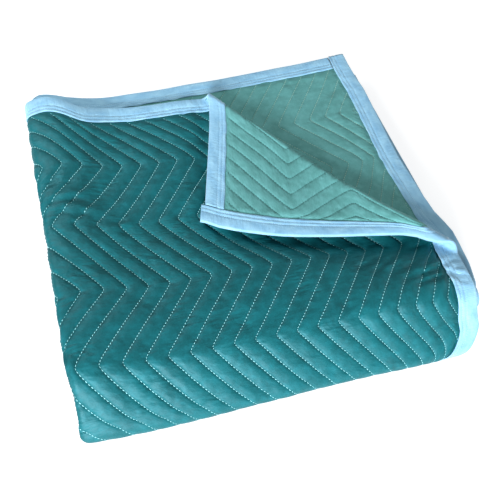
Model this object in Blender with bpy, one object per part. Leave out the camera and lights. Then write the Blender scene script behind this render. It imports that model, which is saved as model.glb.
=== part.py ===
"""A quilted moving blanket, folded into a square pile with one corner turned back.

The cloth is 1.00 m across and 1.829 m along.  It is folded in half across, green face inward,
which puts the fold on the left of the pile, and then four times along, which puts the widest
bend at the front.  The corner of the top ply is turned back and shows its green face.

Every piece starts as a flat pattern in cloth coordinates (across, along, lift): across is zero on
the left fold and positive on the top ply, along is zero at the rear edge, and lift is the height
over the middle of the quilt, positive on the teal face.  fold() carries such points into the pile.

Frame: metres, +Z up, the front bend towards -Y, the left fold at -X, the floor at z = 0.
"""

import bmesh
import bpy
import numpy as np
from mathutils import Vector
from mathutils.geometry import delaunay_2d_cdt

# Cloth
CLOTH_WIDTH = 1.000
CLOTH_LENGTH = 1.829
HALF_WIDTH = CLOTH_WIDTH / 2
CROWN = 0.00275            # half the thickness of the quilt on its crowns
GROOVE = 0.00125           # half the thickness along a stitch line
PLAIN = 0.0023             # half the thickness of the plies that are shut inside the pile
RIM = 0.0010               # half the thickness inside the binding

# Zigzag quilting
STITCH_PITCH = 0.025       # between neighbouring stitch lines
HALF_PERIOD = 0.0956       # along the cloth, from one row of peaks to the next
SWING = 0.0698             # across the cloth, from a left peak to a right peak
FIRST_PEAK = 0.120         # along position of the first row that points away from the left fold
LINE_PHASE = 0.78          # of a pitch, where the stitch lines meet the left fold
SHOULDERS = (0.0, 0.30, 0.70)      # of a pitch: a groove, and the two shoulders of a crown

# Binding
BINDING_WIDTH = 0.025      # on each face of the cloth
BINDING_THICKNESS = 0.0009
BINDING_RADIUS = 0.00195   # of the middle of the tape where it wraps the rim
LAP_GAP = 0.0005           # between a strip's end and the strip that crosses it
BAND = BINDING_WIDTH + 0.001       # rim of the quilt pressed flat by the binding

# Left fold
PAIR_HALF = 0.00675        # half the thickness of two plies lying together
FOLD_LINES = (0.0036, 0.0075)      # across positions that shape the left fold
EDGE_LINES = (0.018, 0.030, 0.042, 0.054, 0.066, 0.080, 0.098, 0.125, 0.170, 0.230, 0.300, 0.380)
HIDDEN_LINES = EDGE_LINES[::2]     # enough for the plies that are shut inside the pile

# Left edge of the pile: station along the folded path, x of the fold
LEFT_EDGE = (
    (-0.090, -0.2520),
    (0.000, -0.2505),
    (0.100, -0.2470),
    (0.200, -0.2425),
    (0.330, -0.2390),
    (0.430, -0.2365),
    (0.462, -0.2345),
    (0.486, -0.2290),
    (0.530, -0.2310),
    (0.700, -0.2390),
    (0.930, -0.2460),
    (1.150, -0.2420),
    (1.360, -0.2380),
    (1.560, -0.2430),
    (1.829, -0.2480),
)

# Section of the pile from the rear edge of the top pair to the other end, along the middle of
# each pair of plies: name, y, z, radius of the bend there, steps in that bend
SECTION = (
    ("rear of pass one", 0.2918, 0.0524, 0.0, 0),
    ("top of the front bend", -0.2050, 0.0700, 0.0320, 4),
    ("foot of the front bend", -0.2695, 0.00675, 0.0095, 6),
    ("rear bend, lower", 0.2120, 0.00675, 0.0081, 2),
    ("rear bend, upper", 0.2120, 0.0230, 0.0081, 2),
    ("inner front bend, lower", -0.2220, 0.0277, 0.0100, 3),
    ("inner front bend, upper", -0.2008, 0.0485, 0.0125, 2),
    ("end of pass four", 0.3000, 0.0372, 0.0, 0),
)
REAR_EDGE_Y = 0.1968       # y of the top ply's rear edge, away from the left fold
CENTRE_X = 0.0065          # middle of the pile, in the x of the table of the left edge
CENTRE_Y = 0.0002          # and in the y of the section
FRONT_SKEW = 0.010         # the front comes forward this much for each metre towards the left

# How far the plies have slipped back in the pile: along, at the left fold, share of the slip
# between the top ply and the one under it
SLIP = (
    (0.00, 0.0275, 1.00),
    (0.12, 0.0135, 0.92),
    (0.22, 0.0095, 0.88),
    (0.45, 0.0060, 0.85),
    (0.90, 0.0050, 0.60),
    (1.83, 0.0025, 0.40),
)
SLIP_SPREAD = 0.075        # width of the slip at the left fold
CURL = 0.008               # less slip than that on the very edge of the left fold
CURL_SPREAD = 0.022
UNDER_SLIP = 0.036         # of the lower ply
UNDER_SKEW = 0.12          # more of it for each square metre from the left fold

# Swell of the left fold, as a share of the pile's height
SWELL = 0.26
SWELL_X = -0.221
SWELL_WIDTH = 0.055
SWELL_FRONT_Y = -0.306     # the swell has gone here
SWELL_DEPTH = 0.3825       # and is full this far behind
UNEVEN = 0.010             # gentle rise and fall, as a share of the height

# Right end of the front bend, drawn in: middle station, spread, amount
DRAWN_IN = (
    (0.430, 0.070, 0.0150),
    (0.500, 0.024, 0.0520),
)
DRAWN_FROM = 0.300         # across position where it starts

# Corner turned back: where its fold meets the rear edge and the right edge, (across, along)
TURN_REAR = np.array((0.262, 0.0))
TURN_SIDE = np.array((0.500, 0.328))
TURN_RADIUS = 0.0065
TURN_REST = 0.0068         # height of the flap's middle over the ply that it lies on
TURN_SETTLE = 0.030        # distance over which it comes down to that height
TURN_BOW = 0.0140          # its fold bows this much towards the left fold
TURN_BOW_FADE = 0.200      # and the flap follows the bow as far as this
TURN_TAKE_UP = 0.048       # share of the flap's length that its ripples take up
TURN_SKEW = 0.030          # drift of the flap along its fold, as a share of its length
TURN_STEPS = 5

ROW_STEP = 0.0478          # between the rows that follow the pile where it doesn't bend

TEAL = (0.012, 0.155, 0.160, 1.0)
PALE_BLUE = (0.300, 0.610, 0.830, 1.0)


def rounded_path(corners):
    """Samples of a polyline with round corners: station, y, z and heading, and the bends' spans."""
    points = [np.array((y, z)) for _, y, z, _, _ in corners]
    station, here = [0.0], [points[0]]
    heading = [np.arctan2(*(points[1] - points[0])[::-1]) % (2 * np.pi)]
    bends = []
    for before, corner, after, row in zip(points, points[1:], points[2:], corners[1:]):
        radius, shown_steps = row[3:]
        incoming = (corner - before) / np.linalg.norm(corner - before)
        outgoing = (after - corner) / np.linalg.norm(after - corner)
        turn = np.arctan2(incoming[0] * outgoing[1] - incoming[1] * outgoing[0], incoming @ outgoing)
        start = corner - incoming * radius * np.tan(abs(turn) / 2)
        centre = start + np.sign(turn) * radius * np.array((-incoming[1], incoming[0]))
        station.append(station[-1] + np.linalg.norm(start - here[-1]))
        here.append(start)
        heading.append(heading[-1])
        steps = int(np.ceil(abs(turn) / np.radians(3)))
        bends.append((station[-1], station[-1] + radius * abs(turn), shown_steps))
        for _ in range(steps):
            angle = turn / steps
            spoke = here[-1] - centre
            cosine, sine = np.cos(angle), np.sin(angle)
            here.append(centre + np.array((spoke[0] * cosine - spoke[1] * sine,
                                           spoke[0] * sine + spoke[1] * cosine)))
            station.append(station[-1] + radius * abs(angle))
            heading.append(heading[-1] + angle)
    station.append(station[-1] + np.linalg.norm(points[-1] - here[-1]))
    here.append(points[-1])
    heading.append(heading[-1])
    return np.array(station), np.array(here), np.array(heading), bends


PATH_STATION, PATH_POINT, PATH_HEADING, PATH_BENDS = rounded_path(SECTION)
REAR_OFFSET = np.interp(REAR_EDGE_Y, PATH_POINT[1::-1, 0], PATH_STATION[1::-1])
PATH_STATION = PATH_STATION - REAR_OFFSET
PATH_BENDS = [(start - REAR_OFFSET, end - REAR_OFFSET, steps) for start, end, steps in PATH_BENDS]


def path(station):
    """y, z and heading of the section at a station."""
    return (np.interp(station, PATH_STATION, PATH_POINT[:, 0]),
            np.interp(station, PATH_STATION, PATH_POINT[:, 1]),
            np.interp(station, PATH_STATION, PATH_HEADING))


def column(table, index, key):
    """A column of a table, read at key along its first column."""
    rows = np.array(table)
    return np.interp(key, rows[:, 0], rows[:, index])


def slip(across, along):
    """How far a point has slipped towards the front of the pile, against its place in the cloth."""
    reach = np.abs(across)
    at_fold = column(SLIP, 1, along)
    share = column(SLIP, 2, along)
    near_fold = np.exp(-(reach / SLIP_SPREAD) ** 2)
    at_fold = at_fold - CURL * share * np.exp(-(reach / CURL_SPREAD) ** 2)
    under = share * (UNDER_SLIP + UNDER_SKEW * reach ** 2)
    return -at_fold * near_fold - np.where(across > 0, 0.0, (1 - near_fold) * under)


def swell(x, y):
    """Local height of the pile as a share of its plain height."""
    depth = np.clip((y - SWELL_FRONT_Y) / SWELL_DEPTH, 0.0, 1.3)
    left = SWELL * depth * np.exp(-((x - SWELL_X) / SWELL_WIDTH) ** 2)
    wave = UNEVEN * np.sin(11.0 * x + 5.0 * y + 0.6) * np.sin(13.0 * y - 4.0 * x + 1.0)
    return 1.0 + left + wave


def half_turn(arc, radius, offset):
    """A sheet wrapped half round an edge: how far it runs past the centre, and its rise."""
    angle = np.clip(arc / radius, -np.pi / 2, np.pi / 2)
    straight = np.maximum(np.abs(arc) - radius * np.pi / 2, 0.0)
    run = straight - (radius + offset) * np.cos(angle)
    return run, (radius + offset) * np.sin(angle)


def turn_bow(place):
    """Bow of the corner's fold, at a share of the way along it."""
    return TURN_BOW * np.sin(np.pi * np.clip(place, 0.0, 1.0) ** 1.3)


def turn_corner(across, along, lift):
    """Turns the corner of the top ply back over its diagonal fold."""
    line = TURN_SIDE - TURN_REAR
    length = np.hypot(*line)
    line = line / length
    out = np.array((line[1], -line[0]))
    place = np.stack((across - TURN_REAR[0], along - TURN_REAR[1]), axis=-1)
    down, beyond = place @ line, place @ out
    bow = turn_bow(down / length)
    start = -bow - np.pi / 2 * TURN_RADIUS
    angle = np.clip((beyond - start) / TURN_RADIUS, 0.0, np.pi)
    past = np.maximum(beyond - start - np.pi * TURN_RADIUS, 0.0)
    height = TURN_REST + (2 * TURN_RADIUS - TURN_REST) * np.exp(-past / TURN_SETTLE)
    turned = (start + (TURN_RADIUS - lift) * np.sin(angle) - past * (1 - TURN_TAKE_UP)
              + bow * (1 - np.exp(-past / TURN_BOW_FADE)))
    down = down + TURN_SKEW * past
    moved = beyond > start
    beyond = np.where(moved, turned, beyond)
    lift_bent = TURN_RADIUS - (TURN_RADIUS - lift) * np.cos(angle)
    lift = np.where(moved, np.where(past > 0, height - lift, lift_bent), lift)
    place = TURN_REAR + down[..., None] * line + beyond[..., None] * out
    return place[..., 0], place[..., 1], lift


def free_level(across, radius):
    """Level of a ply over the middle of its pair, as far as it is free of the left fold."""
    return half_turn(across, radius, 0.0)[1] * (1 - np.exp(-(across / SLIP_SPREAD) ** 2))


def on_path(arc, level):
    """Station where a ply at this level of the pair has used up this much cloth."""
    low, high = arc - 0.09, arc + 0.09
    for _ in range(36):
        middle = (low + high) / 2
        used = middle + level * (path(middle)[2] - np.pi)
        low = np.where(used < arc, middle, low)
        high = np.where(used < arc, high, middle)
    return (low + high) / 2


def fold(across, along, lift):
    """World position of a point of the cloth."""
    across, along, lift = turn_corner(across, along, lift)
    arc = along + slip(across, along)
    height = swell(column(LEFT_EDGE, 1, arc) + np.abs(across), path(arc)[0])
    radius = PAIR_HALF * height - CROWN
    station = on_path(arc, free_level(across, radius))
    run, rise = half_turn(across, radius, lift)
    y, z, heading = path(station)
    x = column(LEFT_EDGE, 1, station) + radius + run - CENTRE_X
    ease = np.clip((np.abs(across) - DRAWN_FROM) / (HALF_WIDTH - BAND - DRAWN_FROM), 0.0, 1.0)
    for middle, spread, amount in DRAWN_IN:
        x = x - amount * ease ** 2 * np.exp(-((station - middle) / spread) ** 2)
    y = y + rise * np.sin(heading) - CENTRE_Y
    y = y + FRONT_SKEW * x * np.clip(y / SECTION[2][1], 0.0, 1.0)
    z = height * z - rise * np.cos(heading)
    return np.stack((x, y, z), axis=-1)


def zigzag(along):
    """Sideways place of a stitch line, from -SWING / 2 to SWING / 2."""
    phase = (along - FIRST_PEAK) / (2 * HALF_PERIOD) % 1.0
    return SWING * (np.abs(2 * phase - 1) - 0.5)


# Where the quilting stands out: left, right, rear and front of the outer ply as far as the foot of
# the front bend, and of the ply under it on top of the pile.  The underside is pressed flat.
QUILTED = (
    (0.0, HALF_WIDTH - BAND, BAND, PATH_BENDS[1][1] + 0.010),
    (BAND - HALF_WIDTH, 0.0, BAND, PATH_BENDS[0][0] - 0.030),
)


def quilt_half(across, along):
    """Half the thickness of the quilt: crowns between its stitch lines, flat rims, a flat base."""
    phase = ((across - zigzag(along)) / STITCH_PITCH - LINE_PHASE) % 1.0
    ramp = np.clip(np.minimum(phase, 1 - phase) / SHOULDERS[1], 0.0, 1.0)
    half = GROOVE + (CROWN - GROOVE) * ramp
    quilted = np.zeros(np.shape(across), dtype=bool)
    for left, right, rear, front in QUILTED:
        quilted |= (across >= left) & (across <= right) & (along >= rear) & (along <= front)
    base = (across > 0) & (along > PATH_BENDS[1][1]) & (along < PATH_BENDS[2][0])
    half = np.where(quilted, half, np.where(base, CROWN, PLAIN))
    edge = np.minimum(HALF_WIDTH - np.abs(across), np.minimum(along, CLOTH_LENGTH - along))
    return np.where(edge < BAND + 1e-5, RIM, half)


def clipped(start, end, box):
    """The part of a segment inside a box (left, right, rear, front), or None."""
    begin, finish = 0.0, 1.0
    for axis in (0, 1):
        travel = end[axis] - start[axis]
        low, high = box[2 * axis] - start[axis], box[2 * axis + 1] - start[axis]
        if abs(travel) < 1e-9:
            if low > 0 or high < 0:
                return None
            continue
        entry, leave = sorted((low / travel, high / travel))
        begin, finish = max(begin, entry), min(finish, leave)
    if finish - begin < 1e-6:
        return None
    start, end = np.array(start), np.array(end)
    return start + begin * (end - start), start + finish * (end - start)


def polyline(points):
    return list(zip(points, points[1:]))


def stitch_lines():
    """Grooves and shoulders of the quilting, as segments of the flat pattern."""
    rows = [FIRST_PEAK + k * HALF_PERIOD for k in range(-2, int(CLOTH_LENGTH / HALF_PERIOD) + 1)]
    count = int(np.ceil((HALF_WIDTH + SWING) / STITCH_PITCH))
    segments = []
    for line in range(-count, count):
        for shoulder in SHOULDERS:
            middle = (line + LINE_PHASE + shoulder) * STITCH_PITCH
            for start, end in polyline([(middle + float(zigzag(row)), row) for row in rows]):
                segments += [clipped(start, end, box) for box in QUILTED]
    return [segment for segment in segments if segment is not None]


def bend_rows():
    """Stations where the section needs a row of points."""
    stations = []
    for start, end, steps in PATH_BENDS:
        stations += list(np.linspace(start, end, steps + 1))
    return stations


def flat_rows():
    """Stations between the bends, for the swell and the left edge."""
    edges = [-0.09] + [value for start, end, _ in PATH_BENDS for value in (start, end)] + [1.90]
    stations = []
    for start, end in zip(edges[::2], edges[1::2]):
        steps = max(int(round((end - start) / ROW_STEP)), 1)
        stations += list(np.linspace(start, end, steps + 1)[1:-1])
    return stations


def row_line(station, places):
    """A row of constant station through the flat pattern, at these across positions."""
    places = np.array(places)
    y, _, heading = path(station)
    x = column(LEFT_EDGE, 1, station) + np.abs(places)
    radius = PAIR_HALF * swell(x, y) - CROWN
    used = station + free_level(places, radius) * (heading - np.pi)
    along = used
    for _ in range(6):
        along = used - slip(places, along)
    return polyline(list(zip(places, along)))


def turn_lines():
    """The lines along which the corner's fold bends."""
    line = TURN_SIDE - TURN_REAR
    length = np.hypot(*line)
    line = line / length
    out = np.array((line[1], -line[0]))
    down = np.linspace(-0.15, 1.15, 10) * length
    bow = turn_bow(down / length)
    steps = [np.pi * TURN_RADIUS * (step / TURN_STEPS - 0.5) for step in range(TURN_STEPS + 1)]
    steps += [steps[-1] + TURN_SETTLE]
    segments = []
    for step in steps:
        points = TURN_REAR + down[:, None] * line + (step - bow)[:, None] * out
        segments += polyline([tuple(point) for point in points])
    return segments


def pattern(outline, segments):
    """Flat mesh of the outline, cut along the segments: points and triangles."""
    outline = np.round(outline, 6)
    box = (outline[0][0], outline[2][0], outline[0][1], outline[2][1])
    points = [Vector(corner) for corner in outline]
    edges = [(0, 1), (1, 2), (2, 3), (3, 0)]
    for start, end in segments:
        part = clipped(start, end, box)
        if part is not None:
            edges.append((len(points), len(points) + 1))
            points += [Vector(np.round(end, 6)) for end in part]
    found = delaunay_2d_cdt(points, edges, [], 1, 2e-4)
    return np.array([tuple(point) for point in found[0]]), [tuple(face) for face in found[2]]


def sheet_solid(name, flat, triangles, place, material, collection):
    """A closed sheet: the flat mesh on both of its faces, each point put in place by a function."""
    model = bmesh.new()
    corners = [model.verts.new((point[0], point[1], 1.0)) for point in flat]
    for triangle in triangles:
        model.faces.new([corners[index] for index in triangle])
    grown = bmesh.ops.extrude_face_region(model, geom=model.faces[:])
    for element in grown["geom"]:
        if isinstance(element, bmesh.types.BMVert):
            element.co.z = -1.0
    bmesh.ops.recalc_face_normals(model, faces=model.faces[:])
    cloth = np.array([vertex.co[:] for vertex in model.verts])
    for vertex, position in zip(model.verts, place(cloth[:, 0], cloth[:, 1], cloth[:, 2])):
        vertex.co = position
    if model.calc_volume(signed=True) < 0:
        bmesh.ops.reverse_faces(model, faces=model.faces[:])
    mesh = bpy.data.meshes.new(name)
    model.to_mesh(mesh)
    model.free()
    mesh.shade_smooth()
    mesh.set_sharp_from_angle(angle=np.radians(40))
    mesh.materials.append(material)
    solid = bpy.data.objects.new(name, mesh)
    collection.objects.link(solid)
    return solid


def make_material(name, colour, roughness):
    material = bpy.data.materials.new(name)
    material.use_nodes = True
    shader = material.node_tree.nodes["Principled BSDF"]
    shader.inputs["Base Color"].default_value = colour
    shader.inputs["Roughness"].default_value = roughness
    shader.inputs["Metallic"].default_value = 0.0
    return material


def row_places(lines):
    """Across positions of a full row: the rims, the left fold and these lines on both sides."""
    across = [HALF_WIDTH, HALF_WIDTH - BAND] + list(lines) + list(FOLD_LINES)
    return sorted([-value for value in across] + [0.0] + across)


def make_panel(material, collection):
    """The quilted cloth, one sheet from its rear edge to its far end."""
    places = row_places(HIDDEN_LINES)
    segments = stitch_lines() + turn_lines()
    for value in (0.0,) + FOLD_LINES:
        segments += [((side * value, 0.0), (side * value, CLOTH_LENGTH)) for side in (1, -1)]
    for side in (1, -1):
        inner = side * (HALF_WIDTH - BAND)
        segments.append(((inner, 0.0), (inner, CLOTH_LENGTH)))
        for value in EDGE_LINES:
            segments.append(((side * value, 0.0), (side * value, BAND)))
            segments.append(((side * value, CLOTH_LENGTH - BAND), (side * value, CLOTH_LENGTH)))
        for value in HIDDEN_LINES:
            segments.append(((side * value, QUILTED[0 if side > 0 else 1][3]),
                             (side * value, CLOTH_LENGTH)))
    for value in (BAND, CLOTH_LENGTH - BAND):
        segments.append(((-HALF_WIDTH, value), (HALF_WIDTH, value)))
    for left, right, _, front in QUILTED:
        segments.append(((left, front), (right, front)))
    for station in bend_rows():
        segments += row_line(station, places)
    for index, station in enumerate(flat_rows()):
        segments += row_line(station, [-HALF_WIDTH, BAND - HALF_WIDTH])
        segments += row_line(station, [HALF_WIDTH - BAND, HALF_WIDTH])
        if index % 3 == 0 and station > PATH_BENDS[1][1]:
            segments += row_line(station, places)
    corner = (HALF_WIDTH, CLOTH_LENGTH)
    outline = ((-corner[0], 0.0), (corner[0], 0.0), corner, (-corner[0], corner[1]))
    flat, triangles = pattern(outline, segments)

    def place(across, along, side):
        return fold(across, along, side * quilt_half(across, along))

    return sheet_solid("quilted_panel", flat, triangles, place, material, collection)


def tape(wrap, side):
    """Tape coordinates to the rim: how far in from the rim, and the lift over the middle."""
    return half_turn(wrap, BINDING_RADIUS, side * BINDING_THICKNESS / 2)


def tape_segments(segments, inset_of, run_of):
    """Segments of the cloth's pattern carried onto both halves of a tape."""
    quarter = BINDING_RADIUS * np.pi / 2
    carried = []
    for start, end in segments:
        for half in (1, -1):
            carried.append(tuple((run_of(point), half * (inset_of(point) + quarter))
                                 for point in (start, end)))
    return carried


def make_strip(name, length_range, inset_of, run_of, cloth_of, lines, material, collection):
    """A binding strip, wrapped over one edge of the cloth."""
    quarter = BINDING_RADIUS * np.pi / 2
    reach = BINDING_WIDTH + quarter
    begin, finish = length_range
    outline = ((begin, -reach), (finish, -reach), (finish, reach), (begin, reach))
    box_top = (begin, finish, quarter, reach)
    box_under = (begin, finish, -reach, -quarter)
    kept = [((begin, wrap), (finish, wrap)) for wrap in (-quarter, 0.0, quarter)]
    for start, end in tape_segments(lines, inset_of, run_of):
        for box in (box_top, box_under):
            part = clipped(start, end, box)
            if part is not None:
                kept.append(part)
                kept += [((run, -quarter), (run, quarter)) for run, wrap in part
                         if abs(wrap - quarter) < 1e-6]
    flat, triangles = pattern(outline, kept)

    def place(run, wrap, side):
        inset, lift = tape(wrap, side)
        across, along = cloth_of(run, inset)
        return fold(across, along, lift)

    return sheet_solid(name, flat, triangles, place, material, collection)


def make_binding(material, collection):
    """Four strips: across the rear and the far end, and down the two long edges, over their ends."""
    beyond = BINDING_RADIUS + BINDING_THICKNESS / 2
    stations = bend_rows() + flat_rows()
    rows = {}
    for side in (1, -1):
        places = [side * value for value in (HALF_WIDTH - BAND, HALF_WIDTH)]
        rows[side] = [segment for station in stations for segment in row_line(station, places)]
    for side, name in ((1, "binding_upper_edge"), (-1, "binding_lower_edge")):
        lines = rows[side] + (turn_lines() if side > 0 else [])
        make_strip(name, (-beyond, CLOTH_LENGTH + beyond),
                   lambda point, side=side: HALF_WIDTH - side * point[0],
                   lambda point: point[1],
                   lambda run, inset, side=side: (side * (HALF_WIDTH - inset), run),
                   lines, material, collection)
    across = HALF_WIDTH - BINDING_WIDTH - LAP_GAP
    for name, edge, inward in (("binding_rear_end", 0.0, 1), ("binding_far_end", CLOTH_LENGTH, -1)):
        lines = [((side * value, edge), (side * value, edge + inward * BAND))
                 for value in (0.0,) + FOLD_LINES + EDGE_LINES for side in (1, -1)]
        for station in stations:
            lines += row_line(station, row_places(EDGE_LINES))
        lines += turn_lines() if inward > 0 else []
        make_strip(name, (-across, across),
                   lambda point, edge=edge, inward=inward: inward * (point[1] - edge),
                   lambda point: point[0],
                   lambda run, inset, edge=edge, inward=inward: (run, edge + inward * inset),
                   lines, material, collection)


def main():
    for thing in list(bpy.data.objects):
        bpy.data.objects.remove(thing, do_unlink=True)
    collection = bpy.data.collections.new("moving_blanket")
    bpy.context.scene.collection.children.link(collection)
    make_panel(make_material("quilted_cloth", TEAL, 0.85), collection)
    make_binding(make_material("binding_tape", PALE_BLUE, 0.70), collection)


main()
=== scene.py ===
"""Looks of the folded moving blanket: quilted cloth, thread, bound edges, floor, light and camera.

The cloth is laid out flat in cloth coordinates (across, along, lift), with its quilting, creases
and tape, and fold() carries it into the pile.  Across is zero on the left fold and positive on the
top ply, along is zero at the rear edge, and lift is the height over the middle of the quilt,
positive on the teal face.  The folds have the sizes of the solids; the bulges and waves of the
pile's edges and of the turned corner, up to about 25 millimetres, are only here.
"""

import math

import bpy
import numpy as np
from mathutils import Matrix, Vector


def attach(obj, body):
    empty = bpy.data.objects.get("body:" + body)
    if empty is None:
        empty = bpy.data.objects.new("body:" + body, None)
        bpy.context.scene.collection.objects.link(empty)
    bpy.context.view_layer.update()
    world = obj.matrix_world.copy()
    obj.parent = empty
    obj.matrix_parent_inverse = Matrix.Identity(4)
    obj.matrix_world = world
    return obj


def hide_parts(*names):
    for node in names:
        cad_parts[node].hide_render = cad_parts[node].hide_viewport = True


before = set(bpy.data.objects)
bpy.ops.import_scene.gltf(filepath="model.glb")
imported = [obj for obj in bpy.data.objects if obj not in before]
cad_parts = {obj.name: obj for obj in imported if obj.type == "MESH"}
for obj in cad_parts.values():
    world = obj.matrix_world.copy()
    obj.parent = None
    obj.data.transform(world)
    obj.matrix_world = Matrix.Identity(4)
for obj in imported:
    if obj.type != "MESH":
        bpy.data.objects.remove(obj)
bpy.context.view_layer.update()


def metres(*rows):
    """A table that is given in millimetres."""
    return np.array(rows) / 1000


# ---- The pile ----

# Cloth
CLOTH_WIDTH = 1.0
CLOTH_LENGTH = 1.829
HALF_WIDTH = CLOTH_WIDTH / 2
CROWN = 0.00275  # half the thickness of the quilt on its crowns
PLAIN = 0.0023  # half the thickness of the plies that are shut inside the pile
RIM = 0.001  # half the thickness inside the binding

# Zigzag quilting
STITCH_PITCH = 0.025  # between neighbouring stitch lines
HALF_PERIOD = 0.0956  # along the cloth, from one row of peaks to the next
SWING = 0.0698  # across the cloth, from a left peak to a right peak
PEAK_ROUND = 0.003  # how softly a line turns at its peaks
PEAK_SLOPE = 0.785  # of a line against the length of the cloth
FIRST_PEAK = 0.12  # along position of the first row that points away from the left fold
LINE_PHASE = 0.78  # of a pitch, where the stitch lines meet the left fold

# Binding
BINDING_WIDTH = 0.025  # on each face of the cloth
BINDING_THICKNESS = 0.0009
BINDING_RADIUS = 0.00195  # of the middle of the tape where it wraps the rim
LAP_GAP = 0.0005  # between a strip's end and the strip that crosses it
BAND = BINDING_WIDTH + 0.001  # rim of the quilt pressed flat by the binding

# Left fold
PAIR_HALF = 0.00675  # half the thickness of two plies lying together

# Left edge of the pile: station along the folded path, x of the fold
LEFT_EDGE = metres(
    (-90, -252), (0, -250.5), (100, -247), (200, -242.5), (330, -239), (430, -236.5),
    (462, -234.5), (486, -229), (530, -231), (700, -239), (930, -246), (1150, -242), (1360, -238),
    (1560, -243), (1829, -248),
)

# Section of the pile from the rear edge of the top pair to the other end, along the middle of
# each pair of plies: name, y, z, radius of the bend there
SECTION = (
    ("rear of pass one", 0.2918, 0.0524, 0.0),
    ("top of the front bend", -0.205, 0.07, 0.032),
    ("foot of the front bend", -0.2695, 0.00675, 0.0095),
    ("rear bend, lower", 0.212, 0.00675, 0.0081),
    ("rear bend, upper", 0.212, 0.023, 0.0081),
    ("inner front bend, lower", -0.222, 0.0277, 0.01),
    ("inner front bend, upper", -0.2008, 0.0485, 0.0125),
    ("end of pass four", 0.3, 0.0372, 0.0),
)
REAR_EDGE_Y = 0.1968  # y of the top ply's rear edge, away from the left fold
FRONT_Y = SECTION[2][1]  # y of the foot of the front
PATH_DEGREES = 3  # most that one step of the path turns
PATH_SEARCH = 0.09  # a ply's station is sought this far either way
PATH_HALVINGS = 36
CENTRE_X = 0.0065  # middle of the pile, in the x of the table of the left edge
CENTRE_Y = 0.0002  # and in the y of the section
FRONT_SKEW = 0.01  # the front comes forward this much for each metre towards the left

# How far the plies have slipped back in the pile: along, at the left fold, share of the slip
# between the top ply and the one under it
SLIP = np.array((
    (0.0, 0.0275, 1.0), (0.12, 0.0135, 0.92), (0.22, 0.0095, 0.88), (0.45, 0.006, 0.85),
    (0.9, 0.005, 0.6), (1.83, 0.0025, 0.4),
))
SLIP_SPREAD = 0.075  # width of the slip at the left fold
CURL = 0.008  # less slip than that on the very edge of the left fold
CURL_SPREAD = 0.022
UNDER_SLIP = 0.036  # of the lower ply
UNDER_SKEW = 0.12  # more of it for each square metre from the left fold

# Swell of the left fold, as a share of the pile's height
SWELL = 0.26
SWELL_X = -0.221
SWELL_WIDTH = 0.055
SWELL_FRONT_Y = -0.306  # the swell has gone here
SWELL_DEPTH = 0.3825  # and is full this far behind
SWELL_REST = 1.3  # most of it, behind that
UNEVEN = 0.01  # gentle rise and fall, as a share of the height
# Its two waves: radians for each metre of x and of y, and at zero
UNEVEN_WAVES = (
    (11.0, 5.0, 0.6),
    (-4.0, 13.0, 1.0),
)

# Right end of the front bend, drawn in: middle station, spread, amount
DRAWN_IN = metres(
    (430, 70, 15), (500, 24, 52),
)
DRAWN_FROM = 0.3  # across position where it starts

# Small shifts of the right edge of the top pair: along, how far right the top ply lies and the
# ply under it
RIGHT_EDGE = metres(
    (0, 0, -2.6), (20, 0, -3.2), (50, 0, -2.8), (80, 0, -1.4), (110, 0, -3), (150, 0, -5.4),
    (190, 0, -8.7), (220, 0, -10.3), (250, -0.8, -10.6), (275, -2.6, -9.6), (300, -5, -9),
    (330, -6.8, -5.8), (350, -8.8, 1.2), (365, -8, 5), (380, -6, 4.8), (400, -3.4, 4.4),
    (420, -1.8, 5.6), (450, -2.2, 5), (475, -10.4, -2.2), (490, -12.4, -5), (505, -9.6, -6.8),
    (520, -3.6, -7), (570, 0, 0),
)
RIGHT_FROM = 0.42  # across position where that starts
RIGHT_FULL = 0.475
# Left fold: station, how far it bulges to the left
LEFT_OUT = metres(
    (0, 0.6), (100, 1.4), (180, 2.1), (300, 2.7), (365, 2.4), (395, 0.4), (430, 0.4), (450, 1.6),
    (472, 6), (490, 4.8), (520, 3.4), (600, 0),
)
LEFT_SPREAD = 0.05  # width of that bulge
FRONT_OUT_POWER = 8  # how fast the next bulge fades behind the foot
# Foot of the front: x, how far forward it bulges
FRONT_OUT = metres(
    (-243, -2.4), (-230, -0.4), (-200, 1.4), (-160, 3), (-100, 2.6), (-50, 0.8), (-5, 0.4),
    (15, -0.8), (100, -1), (140, 0.7), (200, 1.4), (228, -0.4), (250, -4.4),
)
# Rear of the lower ply beside the left fold: distance from the fold, how far back it is drawn
CORNER_BACK = metres(
    (0, 0), (6, 7.5), (14, 16.5), (22, 18.5), (40, 12.2), (60, 4.8), (80, 2.2), (120, 0),
)
CORNER_FADE = 0.08  # along the cloth

# Corner turned back: where its fold meets the rear edge and the right edge, (across, along)
TURN_REAR = np.array((0.262, 0.0))
TURN_SIDE = np.array((0.500, 0.328))
TURN_RADIUS = 0.0065
TURN_REST = 0.0068  # height of the flap's middle over the ply that it lies on
TURN_SETTLE = 0.03  # distance over which it comes down to that height
TURN_BOW = 0.0186  # its fold bows this much towards the left fold
BOW_END = 1.1  # share of the fold's length that the bow runs on to
BOW_POWER = 1.35  # it is fullest past its middle
BOW_SPAN = 1.18  # length of its arch, as a share
TURN_BOW_FADE = 0.2  # and the flap follows the bow as far as this
TURN_TAKE_UP = 0.048  # share of the flap's length that its ripples take up
TURN_SKEW = 0.03  # drift of the flap along its fold, as a share of its length
TURN_INSET = 0.0068  # the flap's rear edge has drawn in this much
TURN_LINE = TURN_SIDE - TURN_REAR
TURN_LENGTH = np.hypot(*TURN_LINE)
TURN_LINE = TURN_LINE / TURN_LENGTH
TURN_OUT = np.array((TURN_LINE[1], -TURN_LINE[0]))  # towards the corner
WAVE_POWER = 4  # how fast the next wave fades away from the flap's front edge
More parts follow.
